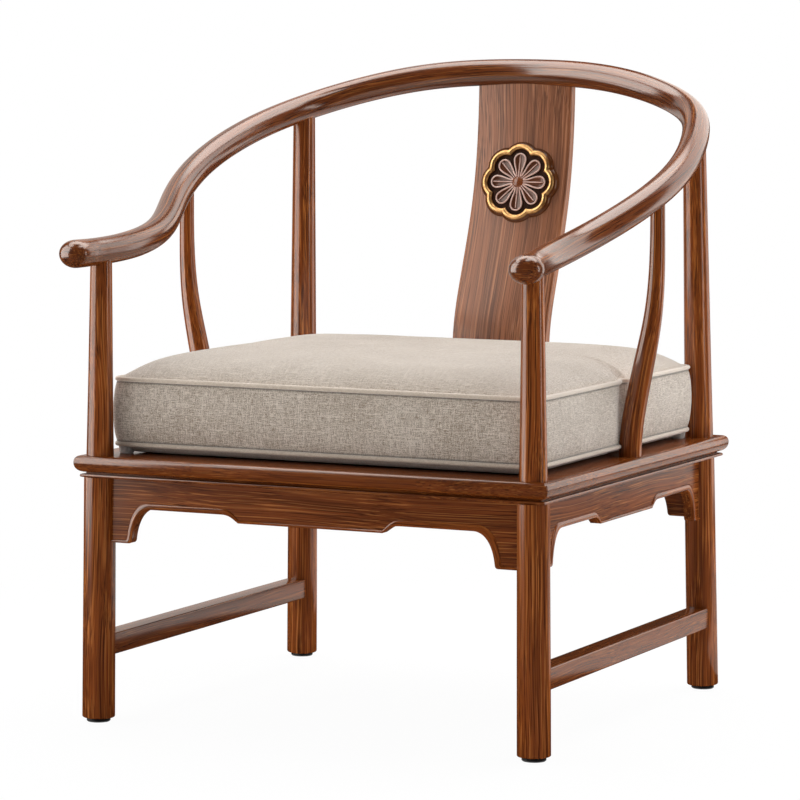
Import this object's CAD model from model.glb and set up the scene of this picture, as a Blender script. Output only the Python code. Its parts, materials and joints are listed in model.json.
"""Horseshoe back armchair: modelled surfaces, finishes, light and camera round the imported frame.

Sizes are in millimetres about the middle of the seat, as a chair maker would mark them out,
and are turned into metres in the frame's own axes when a piece is built.
"""

from __future__ import annotations

import json
import logging
import math
from dataclasses import dataclass, field
from enum import Enum
from typing import Callable, Iterable, Protocol, Sequence

import bmesh
import bpy
import numpy as np
from mathutils import Matrix, Vector, noise
from mathutils.geometry import interpolate_bezier

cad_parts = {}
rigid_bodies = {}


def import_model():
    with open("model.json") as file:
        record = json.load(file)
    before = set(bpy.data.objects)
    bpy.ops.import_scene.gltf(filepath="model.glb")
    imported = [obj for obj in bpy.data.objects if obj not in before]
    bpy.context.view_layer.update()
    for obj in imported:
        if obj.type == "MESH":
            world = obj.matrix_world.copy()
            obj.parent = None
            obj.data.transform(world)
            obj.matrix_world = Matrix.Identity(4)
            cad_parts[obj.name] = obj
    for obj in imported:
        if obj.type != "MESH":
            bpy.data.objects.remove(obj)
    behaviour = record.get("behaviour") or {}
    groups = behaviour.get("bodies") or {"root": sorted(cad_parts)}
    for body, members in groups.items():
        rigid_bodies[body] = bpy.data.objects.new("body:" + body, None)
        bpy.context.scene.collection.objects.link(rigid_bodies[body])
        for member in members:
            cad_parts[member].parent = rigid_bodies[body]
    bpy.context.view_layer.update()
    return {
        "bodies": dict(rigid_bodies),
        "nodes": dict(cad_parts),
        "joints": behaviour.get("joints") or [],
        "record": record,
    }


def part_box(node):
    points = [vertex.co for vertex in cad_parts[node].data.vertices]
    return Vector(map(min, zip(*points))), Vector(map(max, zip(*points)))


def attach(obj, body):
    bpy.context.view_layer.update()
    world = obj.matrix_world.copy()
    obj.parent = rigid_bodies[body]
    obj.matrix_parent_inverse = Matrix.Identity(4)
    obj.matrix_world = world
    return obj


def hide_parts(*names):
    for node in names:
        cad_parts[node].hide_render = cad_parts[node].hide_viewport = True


LOG = logging.getLogger("armchair")
MM = 0.001
ACROSS = Vector((1, 0, 0))
INWARDS = Vector((0, 1, 0))
UP = Vector((0, 0, 1))
Point = tuple[float, float, float]
Flat = tuple[float, float]
Colour = tuple[float, float, float]
SEAMS: Flat = (374.4, 461.8)  # heights of the cushion's seams
WHITE = (1.0, 1.0, 1.0, 1.0)
BOXING_U = 2.0  # where the cloth map of the boxing starts, in metres; the panels stay below 1


class Side(Enum):
    """Which half of the chair a mirrored piece belongs to, seen from the front."""

    LEFT = -1
    RIGHT = 1

    @property
    def word(self) -> str:
        """The word used in node names."""
        return self.name.lower()


class End(Enum):
    """Front or rear of the chair."""

    FRONT = -1
    REAR = 1

    @property
    def word(self) -> str:
        """The word used in node names."""
        return self.name.lower()


class GrainFrom(Enum):
    """Where a wood finish reads its grain direction."""

    MEMBER = "grain"
    ALONG_X = (0.0, math.pi / 2, 0.0)
    ALONG_Y = (math.pi / 2, 0.0, 0.0)


# ------------------------------------------------------------------------------ curves
class Line:
    """A smooth curve through points, measured by the distance between them."""

    def __init__(self, points: Sequence[Sequence[float]]) -> None:
        """Fit a cubic spline whose first two and last two spans share one cubic.

        Args:
            points: points that the curve passes through, in millimetres.
        """
        self.points = np.array(points, float)
        steps = np.linalg.norm(np.diff(self.points, axis=0), axis=1)
        self.marks = np.concatenate([[0.0], np.cumsum(steps)])
        count = len(self.points)
        rows = np.zeros((count, count))
        sides = np.zeros((count, self.points.shape[1]))
        rows[0, :3] = steps[1], -(steps[0] + steps[1]), steps[0]
        rows[-1, -3:] = steps[-1], -(steps[-2] + steps[-1]), steps[-2]
        for i in range(1, count - 1):
            rows[i, i - 1 : i + 2] = steps[i - 1], 2 * (steps[i - 1] + steps[i]), steps[i]
            after = (self.points[i + 1] - self.points[i]) / steps[i]
            before = (self.points[i] - self.points[i - 1]) / steps[i - 1]
            sides[i] = 6 * (after - before)
        self.bends = np.linalg.solve(rows, sides)

    @property
    def length(self) -> float:
        """Length of the curve, as the sum of its spans' chords."""
        return float(self.marks[-1])

    def at(self, mark: float) -> Vector:
        """The point at a mark; past either end it goes straight on.

        Args:
            mark: distance from the first point.

        Returns:
            The point, in millimetres.
        """
        inside = min(max(mark, 0.0), self.length)
        i = int(min(max(np.searchsorted(self.marks, inside) - 1, 0), len(self.marks) - 2))
        step = self.marks[i + 1] - self.marks[i]
        a, b = (self.marks[i + 1] - inside) / step, (inside - self.marks[i]) / step
        bent = ((a**3 - a) * self.bends[i] + (b**3 - b) * self.bends[i + 1]) * step**2 / 6
        spot = Vector(a * self.points[i] + b * self.points[i + 1] + bent)
        if mark != inside:
            spot += self.heading(inside) * (mark - inside)
        return spot

    def heading(self, mark: float) -> Vector:
        """Unit direction of the curve at a mark."""
        inside = min(max(mark, 0.5), self.length - 0.5)
        return (self.at(inside + 0.5) - self.at(inside - 0.5)).normalized()


def eased(value: float) -> float:
    """A smooth step from 0 to 1."""
    value = min(max(value, 0.0), 1.0)
    return value * value * (3 - 2 * value)


def between(value: float, low: float, high: float) -> float:
    """A value from 0 to 1 blended smoothly between two numbers."""
    return low + (high - low) * eased(value)


def bent(start: Flat, first: Flat, second: Flat, end: Flat, count: int) -> list[Flat]:
    """Points of one Bezier span, without its start.

    Args:
        start: first end.
        first: first handle.
        second: second handle.
        end: last end.
        count: number of points wanted.

    Returns:
        The points after the start.
    """
    ends = [Vector((*p, 0.0)) for p in (start, first, second, end)]
    return [(p.x, p.y) for p in interpolate_bezier(*ends, count + 1)[1:]]


def oval(wide: float, deep: float, count: int = 32) -> list[Flat]:
    """An ellipse as an outline."""
    turn = 2 * math.pi / count
    return [(wide * math.cos(turn * i), deep * math.sin(turn * i)) for i in range(count)]


def rounded(wide: float, high: float, radius: float, steps: int = 4) -> list[Flat]:
    """A rectangle with rounded corners as an outline, centred, anticlockwise."""
    points = []
    for quarter, (sx, sy) in enumerate(((1, 1), (-1, 1), (-1, -1), (1, -1))):
        for i in range(steps + 1):
            turn = math.pi / 2 * (quarter + i / steps)
            x = sx * (wide / 2 - radius) + radius * math.cos(turn)
            y = sy * (high / 2 - radius) + radius * math.sin(turn)
            points.append((x, y))
    return points


# ------------------------------------------------------------------------------ meshes
@dataclass(frozen=True)
class Station:
    """One stop of a carried outline: its plane, its place along the grain, how far the grain turns over."""

    place: Matrix
    along: float
    turned: float = 0.0


def upright(spot: Vector, heading: Vector, across: float = 1.0, up: float = 1.0) -> Matrix:
    """Plane square to a heading, with its first axis level and its second one upwards."""
    level = UP.cross(heading).normalized()
    rise = heading.cross(level).normalized()
    return framed(spot, level * across, rise * up)


def framed(spot: Vector, first: Vector, second: Vector) -> Matrix:
    """Matrix that carries an outline's two axes to two directions at a point."""
    third = first.cross(second).normalized()
    return Matrix.Translation(spot) @ Matrix((first, second, third)).transposed().to_4x4()


def square_to(heading: Vector) -> tuple[Vector, Vector]:
    """Two unit directions square to a rising heading and to each other."""
    square = heading.cross(INWARDS).normalized()
    return square, heading.cross(square).normalized()


def points_of(geometry: Iterable[bmesh.types.BMVert | bmesh.types.BMEdge]) -> list[bmesh.types.BMVert]:
    """The points among what an operator gave back."""
    return [item for item in geometry if isinstance(item, bmesh.types.BMVert)]


def drawn_out(
    mesh: bmesh.types.BMesh, edges: Sequence[bmesh.types.BMEdge]
) -> tuple[list[bmesh.types.BMVert], list[bmesh.types.BMEdge]]:
    """Extrude a ring of edges where it stands.

    Args:
        mesh: the bmesh that holds the ring.
        edges: the ring.

    Returns:
        The new ring's points and edges.
    """
    made = bmesh.ops.extrude_edge_only(mesh, edges=edges)["geom"]
    ring = points_of(made)
    fresh = set(ring)
    lines = (item for item in made if isinstance(item, bmesh.types.BMEdge))
    return ring, [line for line in lines if fresh.issuperset(line.verts)]


def linked(name: str, data: bpy.types.ID) -> bpy.types.Object:
    """A new object in the scene for a mesh, lamp or camera."""
    made = bpy.data.objects.new(name, data)
    bpy.context.scene.collection.objects.link(made)
    return made


class Carver:
    """Makes solids in the frame's axes and hands them to the chair."""

    def __init__(self, seat_y: float) -> None:
        """Remember where the middle of the seat lies.

        Args:
            seat_y: the seat's middle along Y in the frame, in metres.
        """
        self.shift = Vector((0.0, seat_y, 0.0))
        self.seed = 0

    @property
    def offset(self) -> Vector:
        """Where the latest piece lies in the grain, so that no two pieces match."""
        return Vector((0.731, 0.417, 1.913)) * self.seed

    def carried(
        self,
        name: str,
        outline: Sequence[Flat],
        stations: Sequence[Station],
        looped: bool = False,
        crease: float = 40.0,
    ) -> bpy.types.Object:
        """Carry a closed outline through stations and close the ends.

        Args:
            name: name of the new piece.
            outline: closed outline in the station's plane.
            stations: the stops, in order.
            looped: whether the last station is the first one again.
            crease: angle over which an edge stays sharp, in degrees.

        Returns:
            The new object, with its grain stored on its points.
        """
        self.seed += 1
        mesh = bmesh.new()
        spot = mesh.verts.layers.int.new("spot")
        grain = mesh.verts.layers.float_vector.new("grain")
        ring = [mesh.verts.new((0, 0, 0)) for _ in outline]
        for i, vert in enumerate(ring):
            vert[spot] = i
        edges = [mesh.edges.new((ring[i], ring[(i + 1) % len(ring)])) for i in range(len(ring))]
        self._set(ring, spot, grain, outline, stations[0])
        if not looped:
            bmesh.ops.contextual_create(mesh, geom=edges)
        for station in stations[1:]:
            ring, edges = drawn_out(mesh, edges)
            self._set(ring, spot, grain, outline, station)
        if looped:
            bmesh.ops.remove_doubles(mesh, verts=mesh.verts, dist=1e-6)
        else:
            bmesh.ops.contextual_create(mesh, geom=edges)
        return self.finished(name, mesh, crease)

    def _set(
        self,
        ring: Iterable[bmesh.types.BMVert],
        spot: bmesh.types.BMLayerItem,
        grain: bmesh.types.BMLayerItem,
        outline: Sequence[Flat],
        station: Station,
    ) -> None:
        """Move one ring of points to a station and write their grain place."""
        wide = station.place.col[0].to_3d().length
        deep = station.place.col[1].to_3d().length
        for vert in ring:
            x, y = outline[vert[spot]]
            vert.co = self.placed(station.place @ Vector((x, y, 0.0)))
            cut = Vector((x * wide * (1 - station.turned), y * deep, station.along))
            vert[grain] = cut * MM + self.offset

    def placed(self, spot: Vector) -> Vector:
        """A place in millimetres about the seat, as metres in the frame's axes."""
        return spot * MM + self.shift

    def slab(self, outline: Sequence[Vector], push: Vector) -> bmesh.types.BMesh:
        """A flat outline given a thickness.

        Args:
            outline: its corners, in millimetres about the seat.
            push: how far the far face lies from them, in millimetres.

        Returns:
            The bmesh, in metres.
        """
        mesh = bmesh.new()
        face = mesh.faces.new([mesh.verts.new(self.placed(spot)) for spot in outline])
        back = points_of(bmesh.ops.extrude_face_region(mesh, geom=[face])["geom"])
        bmesh.ops.translate(mesh, verts=back, vec=push * MM)
        return mesh

    def finished(self, name: str, mesh: bmesh.types.BMesh, crease: float = 40.0) -> bpy.types.Object:
        """Turn a bmesh into a smooth-shaded object at the origin.

        Args:
            name: name of the new piece.
            mesh: the bmesh, which is freed.
            crease: angle over which an edge stays sharp, in degrees.

        Returns:
            The new object.
        """
        bmesh.ops.recalc_face_normals(mesh, faces=mesh.faces)
        for face in mesh.faces:
            face.smooth = True
        data = bpy.data.meshes.new(name)
        mesh.to_mesh(data)
        mesh.free()
        data.set_sharp_from_angle(angle=math.radians(crease))
        return linked(name, data)

    def joined(self, name: str, pieces: Sequence[bpy.types.Object]) -> bpy.types.Object:
        """Make one object of several, keeping their stored grain."""
        for piece in bpy.context.selected_objects:
            piece.select_set(False)
        for piece in pieces:
            piece.select_set(True)
        bpy.context.view_layer.objects.active = pieces[0]
        if len(pieces) > 1:
            bpy.ops.object.join()
        pieces[0].name = name
        pieces[0].data.name = name
        return pieces[0]

    @staticmethod
    def mapped(piece: bpy.types.Object, rule: Callable[[int], Flat]) -> None:
        """Give a piece its cloth map.

        Args:
            piece: the piece.
            rule: gives a point's place on the cloth, in metres, from its number.
        """
        layer = piece.data.uv_layers.new(name="cloth")
        for loop in piece.data.loops:
            layer.data[loop.index].uv = rule(loop.vertex_index)

    def grained(self, mesh: bmesh.types.BMesh, along: int) -> None:
        """Store straight grain along one axis on every point of a bmesh.

        Args:
            mesh: the bmesh to mark, already in metres.
            along: 0, 1 or 2 for the axis that the grain follows.
        """
        self.seed += 1
        grain = mesh.verts.layers.float_vector.get("grain") or mesh.verts.layers.float_vector.new("grain")
        for vert in mesh.verts:
            others = [vert.co[i] for i in range(3) if i != along]
            vert[grain] = Vector((*others, vert.co[along])) + self.offset


# ------------------------------------------------------------------------------ finishes
Inputs = dict[str | int, object]


class Sheet:
    """A small hand on one node tree."""

    def __init__(self, tree: bpy.types.NodeTree) -> None:
        """Hold the tree that nodes go into."""
        self.tree = tree

    def feed(self, made: bpy.types.Node, inputs: Inputs) -> bpy.types.Node:
        """Set a node's sockets, by name or number, to values or to the sockets that feed them."""
        for key, value in inputs.items():
            if isinstance(value, bpy.types.NodeSocket):
                self.tree.links.new(value, made.inputs[key])
            else:
                made.inputs[key].default_value = value
        return made

    def node(self, kind: str, inputs: Inputs | None = None, **settings: object) -> bpy.types.Node:
        """Add a node.

        Args:
            kind: Blender's type name of the node.
            inputs: socket name or number to a value, or to a socket that feeds it.
            **settings: properties of the node.

        Returns:
            The new node.
        """
        made = self.tree.nodes.new(kind)
        for name, value in settings.items():
            setattr(made, name, value)
        return self.feed(made, inputs or {})

    def math(self, operation: str, *values: object) -> bpy.types.NodeSocket:
        """A Math node's result."""
        return self.node("ShaderNodeMath", dict(enumerate(values)), operation=operation).outputs[0]

    def vector(self, operation: str, *values: object) -> bpy.types.NodeSocket:
        """A Vector Math node's result."""
        return self.node("ShaderNodeVectorMath", dict(enumerate(values)), operation=operation).outputs[0]

    def noise(
        self, vector: object, scale: float, detail: float = 2.0, rough: float = 0.5
    ) -> bpy.types.NodeSocket:
        """Noise as one number."""
        values = {"Vector": vector, "Scale": scale, "Detail": detail, "Roughness": rough}
        return self.node("ShaderNodeTexNoise", values).outputs["Fac"]

    def drawn_noise(
        self, vector: object, by: Point, detail: float, rough: float = 0.5
    ) -> bpy.types.NodeSocket:
        """Noise drawn out along an axis: spots per metre on each axis."""
        return self.noise(self.vector("MULTIPLY", vector, by), 1.0, detail, rough)

    def span(
        self, value: object, low: float, high: float, to_low: float = 0.0, to_high: float = 1.0
    ) -> bpy.types.NodeSocket:
        """A number moved from one range to another, smoothly and clamped."""
        values = {"Value": value, "From Min": low, "From Max": high, "To Min": to_low, "To Max": to_high}
        return self.node("ShaderNodeMapRange", values, interpolation_type="SMOOTHSTEP").outputs["Result"]

    def mix(self, share: object, first: object, second: object) -> bpy.types.NodeSocket:
        """Two colours mixed."""
        return self.node("ShaderNodeMix", {0: share, 6: first, 7: second}, data_type="RGBA").outputs[2]

    def place(self, group: bpy.types.NodeTree, values: Inputs) -> bpy.types.Node:
        """Place a shader node group with its own values."""
        return self.feed(self.node("ShaderNodeGroup", node_tree=group), values)

    def shown(self) -> bpy.types.NodeSocket:
        """One for camera, glossy and transmission rays, nought for the rest."""
        path = self.node("ShaderNodeLightPath").outputs
        gloss = self.math("MAXIMUM", path["Is Camera Ray"], path["Is Glossy Ray"])
        return self.math("MAXIMUM", gloss, path["Is Transmission Ray"])

    def shader(self, kind: str, inputs: Inputs, end: str = "ShaderNodeOutputMaterial") -> None:
        """Close the tree with a shader and its output node."""
        self.node(end, {"Surface": self.node(kind, inputs).outputs[0]})

    def coated(self, inputs: Inputs, strength: float, depth: float, height: object) -> None:
        """Close the tree with a Principled BSDF over a bump.

        Args:
            inputs: the shader's own sockets.
            strength: the bump's strength.
            depth: the bump's depth, in metres.
            height: the socket that raises it.
        """
        bump = self.node("ShaderNodeBump", {"Strength": strength, "Distance": depth, "Height": height})
        self.shader("ShaderNodeBsdfPrincipled", {**inputs, "Normal": bump.outputs[0]})


def new_material(name: str) -> tuple[bpy.types.Material, Sheet]:
    """A material without nodes, and a hand on its tree."""
    made = bpy.data.materials.new(name)
    made.use_nodes = True
    made.node_tree.nodes.clear()
    return made, Sheet(made.node_tree)


def new_group(
    name: str, inputs: dict[str, tuple[str, object]], outputs: dict[str, str]
) -> tuple[Sheet, bpy.types.Node, bpy.types.Node]:
    """Start a shader node group.

    Args:
        name: the group's name.
        inputs: socket name to its kind and default.
        outputs: socket name to its kind.

    Returns:
        A hand on its tree, its input node and its output node.
    """
    tree = bpy.data.node_groups.new(name, "ShaderNodeTree")
    for label, (kind, default) in inputs.items():
        socket = tree.interface.new_socket(name=label, in_out="INPUT", socket_type="NodeSocket" + kind)
        if default is not None:
            socket.default_value = default
    for label, kind in outputs.items():
        tree.interface.new_socket(name=label, in_out="OUTPUT", socket_type="NodeSocket" + kind)
    sheet = Sheet(tree)
    return sheet, sheet.node("NodeGroupInput"), sheet.node("NodeGroupOutput")


def rgba(colour: Colour) -> tuple[float, float, float, float]:
    """A colour with full alpha."""
    return (*colour, 1.0)


class Effects:
    """The shader node groups that several finishes share, each built once."""

    def __init__(self) -> None:
        """Build every group."""
        self.grain = self._grain()
        self.weave = self._weave()

    def _grain(self) -> bpy.types.NodeTree:
        """Streaked hardwood: broad bands, reddish streaks, dark lines and fine pores."""
        sheet, given, result = new_group(
            "hardwood_grain",
            {
                "Vector": ("Vector", None),
                **{tone: ("Color", None) for tone in ("Dark", "Body", "Light")},
                **{share: ("Float", 1.0) for share in ("Spread", "Streaks", "Lines")},
            },
            {"Color": "Color", "Roughness": "Float", "Height": "Float"},
        )
        place, dark = given.outputs["Vector"], given.outputs["Dark"]
        waves = sheet.vector("MULTIPLY", place, (5.0, 5.0, 3.2))
        sway = sheet.node("ShaderNodeTexNoise", {"Vector": waves, "Scale": 1.0, "Detail": 1.0})
        shove = sheet.vector("SUBTRACT", sway.outputs["Color"], (0.5, 0.5, 0.5))
        swayed = sheet.vector("ADD", place, sheet.vector("MULTIPLY", shove, (0.022, 0.022, 0.0)))
        sized = {0: swayed, "Scale": given.outputs["Spread"]}
        laid = sheet.node("ShaderNodeVectorMath", sized, operation="SCALE").outputs[0]
        broad = sheet.drawn_noise(laid, (60.0, 60.0, 2.4), 2.0)
        streak = sheet.drawn_noise(laid, (400.0, 400.0, 3.2), 3.0, 0.62)
        fine = sheet.drawn_noise(laid, (820.0, 820.0, 3.6), 2.0, 0.6)
        pores = sheet.drawn_noise(laid, (1300.0, 1300.0, 26.0), 1.0)
        tone = sheet.mix(sheet.span(broad, 0.34, 0.60, 0.6, 1.0), dark, given.outputs["Body"])
        lit = sheet.math("MULTIPLY", sheet.span(streak, 0.50, 0.66), given.outputs["Streaks"])
        tone = sheet.mix(lit, tone, given.outputs["Light"])
        lined = sheet.math("MULTIPLY", sheet.span(fine, 0.50, 0.62), given.outputs["Lines"])
        tone = sheet.mix(lined, tone, dark)
        tone = sheet.mix(sheet.math("MULTIPLY", sheet.span(pores, 0.6, 0.75), 0.3), tone, dark)
        sunk = sheet.math("MULTIPLY", sheet.span(pores, 0.58, 0.75), 0.5)
        height = sheet.math("SUBTRACT", sheet.math("MULTIPLY", streak, 0.4), sunk)
        rough = sheet.span(fine, 0.3, 0.7, -0.04, 0.05)
        sheet.feed(result, {"Color": tone, "Roughness": rough, "Height": height})
        return sheet.tree

    def _weave(self) -> bpy.types.NodeTree:
        """Plain linen weave with uneven threads and slubs, on the cloth's own flat measure."""
        sheet, given, result = new_group(
            "linen_weave",
            {
                "Vector": ("Vector", None),
                "Shade": ("Color", None),
                "Thread": ("Color", None),
                "Contrast": ("Float", 1.0),
            },
            {"Color": "Color", "Height": "Float"},
        )
        place = given.outputs["Vector"]
        warp = sheet.drawn_noise(place, (860.0, 110.0, 1.0), 2.0, 0.6)
        weft = sheet.drawn_noise(place, (100.0, 900.0, 1.0), 2.0, 0.6)
        knots = sheet.drawn_noise(place, (900.0, 900.0, 1.0), 1.0, 0.7)
        slubs = [sheet.drawn_noise(place, by, 1.0) for by in ((380.0, 22.0, 1.0), (18.0, 420.0, 1.0))]
        cloud = sheet.drawn_noise(place, (12.0, 12.0, 1.0), 2.0)
        shade = sheet.math("ADD", sheet.math("MULTIPLY", warp, 0.9), weft)
        shade = sheet.math("ADD", shade, sheet.math("MULTIPLY", knots, 1.4))
        shade = sheet.math("SUBTRACT", shade, 1.65)
        for slub in slubs:
            shade = sheet.math("ADD", shade, sheet.span(slub, 0.56, 0.74, 0.0, 0.16))
        shade = sheet.math("ADD", shade, sheet.span(cloud, 0.3, 0.7, -0.05, 0.05))
        spread = sheet.math("MULTIPLY", shade, given.outputs["Contrast"])
        tone = sheet.mix(sheet.math("ADD", spread, 0.5), given.outputs["Shade"], given.outputs["Thread"])
        sheet.feed(result, {"Color": tone, "Height": shade})
        return sheet.tree


@dataclass(frozen=True)
class Lacquer:
    """Satin lacquer over streaked hardwood."""

    name: str
    dark: Colour = (0.036, 0.0072, 0.0012)
    body: Colour = (0.260, 0.0610, 0.0090)
    light: Colour = (0.500, 0.1600, 0.0320)
    spread: float = 1.0
    streaks: float = 0.75
    lines: float = 0.75
    roughness: float = 0.55
    shine: float = 0.0
    coat: float = 0.5
    coat_ior: float = 2.0
    coat_roughness: float = 0.15
    bump: float = 0.02

    def material(self, effects: Effects, source: GrainFrom = GrainFrom.MEMBER) -> bpy.types.Material:
        """Make the finish.

        Args:
            effects: the shared node groups.
            source: where the grain's direction comes from.

        Returns:
            The material.
        """
        made, sheet = new_material(self.name)
        if source is GrainFrom.MEMBER:
            place = sheet.node("ShaderNodeAttribute", attribute_name="grain").outputs["Vector"]
        else:
            coordinate = sheet.node("ShaderNodeTexCoord").outputs["Object"]
            inputs = {"Vector": coordinate, "Rotation": source.value}
            place = sheet.node("ShaderNodeMapping", inputs).outputs[0]
        values = {
            "Vector": place,
            "Dark": rgba(self.dark),
            "Body": rgba(self.body),
            "Light": rgba(self.light),
            "Spread": self.spread,
            "Streaks": self.streaks,
            "Lines": self.lines,
        }
        grain = sheet.place(effects.grain, values)
        rough = sheet.math("ADD", grain.outputs["Roughness"], self.roughness)
        inputs = {
            "Base Color": grain.outputs["Color"],
            "Roughness": rough,
            "Specular IOR Level": self.shine,
            "Coat Weight": self.coat,
            "Coat IOR": self.coat_ior,
            "Coat Roughness": self.coat_roughness,
        }
        sheet.coated(inputs, self.bump, 0.0006, grain.outputs["Height"])
        return made


@dataclass(frozen=True)
class Gilt:
    """Antique gilding, browner where it is rubbed."""

    name: str
    bright: Colour = (0.66, 0.40, 0.17)
    rubbed: Colour = (0.30, 0.13, 0.038)
    roughness: float = 0.33

    def material(self) -> bpy.types.Material:
        """Make the finish."""
        made, sheet = new_material(self.name)
        place = sheet.node("ShaderNodeTexCoord").outputs["Object"]
        rub = sheet.span(sheet.noise(place, 170.0, 3.0, 0.6), 0.42, 0.72)
        tone = sheet.mix(sheet.math("MULTIPLY", rub, 0.55), rgba(self.bright), rgba(self.rubbed))
        rough = sheet.math("ADD", sheet.math("MULTIPLY", rub, 0.15), self.roughness)
        inputs = {"Base Color": tone, "Metallic": 1.0, "Roughness": rough}
        sheet.coated(inputs, 0.12, 0.0005, sheet.noise(place, 600.0))
        return made


@dataclass(frozen=True)
class Linen:
    """Slubby linen on the cloth's own UV map, in metres: livelier and creased at the seams on the boxing."""

    name: str
    shade: Colour = (0.330, 0.238, 0.156)
    thread: Colour = (0.845, 0.742, 0.634)
    crease: Colour = (0.10, 0.08, 0.06)
    contrast: float = 2.8
    bump: float = 1.0
    sheen: float = 0.7

    def material(self, effects: Effects) -> bpy.types.Material:
        """Make the finish.

        Args:
            effects: the shared node groups.

        Returns:
            The material.
        """
        made, sheet = new_material(self.name)
        place = sheet.node("ShaderNodeUVMap", uv_map="cloth").outputs[0]
        parts = sheet.node("ShaderNodeSeparateXYZ", {0: place}).outputs
        boxing = sheet.span(parts["X"], BOXING_U - 1.02, BOXING_U - 0.98)
        flat, plain = 0.4 * self.contrast, self.contrast
        contrast = sheet.span(parts["X"], BOXING_U - 1.02, BOXING_U - 0.98, flat, plain)
        tones = {"Shade": rgba(self.shade), "Thread": rgba(self.thread)}
        values = {"Vector": place, **tones, "Contrast": contrast}
        weave = sheet.place(effects.weave, values)
        seams = [sheet.math("ABSOLUTE", sheet.math("SUBTRACT", parts["Y"], z * MM)) for z in SEAMS]
        crease = sheet.span(sheet.math("MINIMUM", *seams), 0.0036, 0.0064, 0.7, 0.0)
        tone = sheet.mix(sheet.math("MULTIPLY", crease, boxing), weave.outputs["Color"], rgba(self.crease))
        inputs = {"Base Color": tone, "Roughness": 0.92, "Sheen Weight": self.sheen, "Sheen Roughness": 0.5}
        sheet.coated(inputs, self.bump, 0.0012, weave.outputs["Height"])
        return made


@dataclass(frozen=True)
class Moulded:
    """Plain moulded or drawn parts: glides, zip, nails."""

    name: str
    colour: Colour
    roughness: float = 0.5
    metallic: float = 0.0

    def material(self) -> bpy.types.Material:
        """Make the finish, with a fine uneven surface."""
        made, sheet = new_material(self.name)
        place = sheet.node("ShaderNodeTexCoord").outputs["Object"]
        cloud = sheet.noise(place, 220.0, 3.0)
        darker = tuple(0.75 * c for c in self.colour)
        tone = sheet.mix(sheet.span(cloud, 0.35, 0.7), rgba(darker), rgba(self.colour))
        rough = sheet.math("ADD", sheet.math("MULTIPLY", cloud, 0.12), self.roughness - 0.06)
        inputs = {"Base Color": tone, "Metallic": self.metallic, "Roughness": rough}
        sheet.coated(inputs, 0.15, 0.0004, sheet.noise(place, 1400.0))
        return made


class Finishes:
    """Every finish of the chair, made once."""

    def __init__(self) -> None:
        """Make the shared effects and the materials."""
        effects = Effects()
        self.wood = Lacquer("lacquered_hardwood").material(effects)
        self.rail = Lacquer(
            "rail_hardwood",
            dark=(0.024, 0.0048, 0.0008),
            body=(0.165, 0.0370, 0.0055),
            light=(0.330, 0.1050, 0.0210),
            coat=0.7,
            coat_roughness=0.19,
        ).material(effects)
        self.frame = Lacquer(
            "frame_hardwood",
            dark=(0.028, 0.0056, 0.0010),
            body=(0.180, 0.0420, 0.0064),
            light=(0.340, 0.1080, 0.0220),
            streaks=0.65,
            lines=0.6,
            coat=0.55,
            coat_roughness=0.17,
            bump=0.008,
        ).material(effects)
        self.leg = Lacquer(
            "leg_hardwood", streaks=0.9, lines=0.8, coat=0.42, coat_roughness=0.18
        ).material(effects)
        self.board = Lacquer(
            "apron_hardwood",
            dark=(0.026, 0.0055, 0.0010),
            body=(0.195, 0.0460, 0.0078),
            light=(0.380, 0.1250, 0.0280),
            streaks=0.85,
            lines=0.7,
            coat=0.32,
            coat_roughness=0.2,
        ).material(effects)
        self.splat = Lacquer(
            "splat_hardwood",
            dark=(0.070, 0.0220, 0.0080),
            body=(0.330, 0.1160, 0.0460),
            light=(0.540, 0.2280, 0.1060),
            spread=0.8,
            shine=0.1,
            coat=0.25,
            coat_roughness=0.25,
        ).material(effects)
        self.moulding = Lacquer(
            "moulded_hardwood",
            dark=(0.050, 0.0140, 0.0035),
            body=(0.130, 0.0400, 0.0110),
            light=(0.200, 0.0680, 0.0200),
            coat=0.3,
        ).material(effects)
        self.carving = Lacquer(
            "carved_ridges",
            dark=(0.560, 0.3300, 0.2600),
            body=(0.820, 0.5500, 0.4700),
            light=(0.900, 0.7000, 0.6200),
        ).material(effects)
        self.leaf = Lacquer(
            "carved_leaves",
            dark=(0.045, 0.0150, 0.0070),
            body=(0.140, 0.0470, 0.0220),
            light=(0.220, 0.0830, 0.0400),
            coat=0.3,
        ).material(effects)
        self.boss = Lacquer(
            "carved_boss",
            dark=(0.120, 0.0290, 0.0085),
            body=(0.250, 0.0700, 0.0210),
            light=(0.340, 0.1100, 0.0400),
            coat=0.4,
        ).material(effects)
        self.ground = Lacquer(
            "stained_ground",
            dark=(0.016, 0.0060, 0.0030),
            body=(0.038, 0.0150, 0.0080),
            light=(0.070, 0.0300, 0.0170),
            shine=0.05,
            coat=0.0,
        ).material(effects)
        self.along_x = Lacquer("hardwood_along_x").material(effects, GrainFrom.ALONG_X)
        self.along_y = Lacquer("hardwood_along_y").material(effects, GrainFrom.ALONG_Y)
        self.gilt = Gilt("antique_gilding").material()
        self.linen = Linen("slubby_linen").material(effects)
        self.cord = Linen("piping_linen", contrast=0.5, bump=0.2).material(effects)
        pale = Linen("pale_lining", shade=(0.60, 0.58, 0.55), thread=(0.84, 0.82, 0.78))
        self.lining = pale.material(effects)
        self.glide = Moulded("black_glide", (0.012, 0.011, 0.010)).material()
        self.nail = Moulded("drawn_steel", (0.5, 0.5, 0.5), 0.35, 1.0).material()
        self.zip = Moulded("zip_tape", (0.40, 0.34, 0.27), 0.7).material()


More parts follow.
